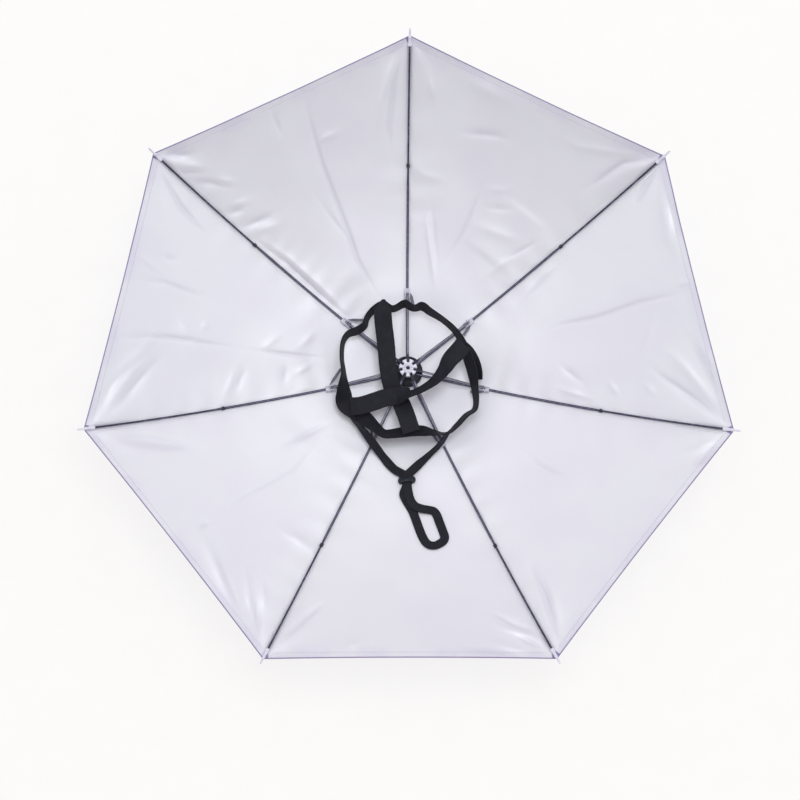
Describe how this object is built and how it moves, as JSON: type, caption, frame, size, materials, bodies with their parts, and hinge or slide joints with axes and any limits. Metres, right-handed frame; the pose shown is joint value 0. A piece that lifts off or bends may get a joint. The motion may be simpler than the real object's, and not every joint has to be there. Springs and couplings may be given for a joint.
{
  "type": "umbrella hat",
  "caption": "Umbrella hat lying open on its crown: a silver-lined ribbed canopy with a frame of wire ribs and struts, an elastic head band with crossed straps, and a chin strap with a lock.",
  "frame": {"origin": "middle of the crown cap's flat outer face, which the open hat lies on", "axes": "+Z up the shaft, out of the hollow of the canopy; +Y along the first rib; +X to the right in plan with +Y up"},
  "size_m": [0.701, 0.6836, 0.1392],
  "materials": {
    "silver_cloth": "thin cloth, silver coating inside, lavender outside",
    "dark_steel": "dark blue-grey wire",
    "grey_steel": "pressed channel",
    "white_plastic": "satin moulding",
    "black_plastic": "satin moulding",
    "black_webbing": "woven elastic",
    "grey_tape": "thin woven tape"
  },
  "bodies": {
    "root": {"canopy_panel_1": "silver_cloth", "rib_1": "dark_steel", "rib_tip_1": "white_plastic", "rib_joint_1": "white_plastic", "stretcher_1": "grey_steel", "joint_tie_1": "grey_tape", "canopy_panel_2": "silver_cloth", "rib_2": "dark_steel", "rib_tip_2": "white_plastic", "rib_joint_2": "white_plastic", "stretcher_2": "grey_steel", "joint_tie_2": "grey_tape", "canopy_panel_3": "silver_cloth", "rib_3": "dark_steel", "rib_tip_3": "white_plastic", "rib_joint_3": "white_plastic", "stretcher_3": "grey_steel", "joint_tie_3": "grey_tape", "canopy_panel_4": "silver_cloth", "rib_4": "dark_steel", "rib_tip_4": "white_plastic", "rib_joint_4": "white_plastic", "stretcher_4": "grey_steel", "joint_tie_4": "grey_tape", "canopy_panel_5": "silver_cloth", "rib_5": "dark_steel", "rib_tip_5": "white_plastic", "rib_joint_5": "white_plastic", "stretcher_5": "grey_steel", "joint_tie_5": "grey_tape", "canopy_panel_6": "silver_cloth", "rib_6": "dark_steel", "rib_tip_6": "white_plastic", "rib_joint_6": "white_plastic", "stretcher_6": "grey_steel", "joint_tie_6": "grey_tape", "canopy_panel_7": "silver_cloth", "rib_7": "dark_steel", "rib_tip_7": "white_plastic", "rib_joint_7": "white_plastic", "stretcher_7": "grey_steel", "joint_tie_7": "grey_tape", "notch_hub": "black_plastic", "runner": "white_plastic", "crown_cap": "white_plastic", "shaft": "white_plastic", "head_band": "black_webbing", "crown_strap_a": "black_webbing", "crown_strap_b": "black_webbing", "strap_tail": "black_webbing", "chin_strap": "black_webbing", "cord_lock": "black_plastic"}
  },
  "joints": []
}
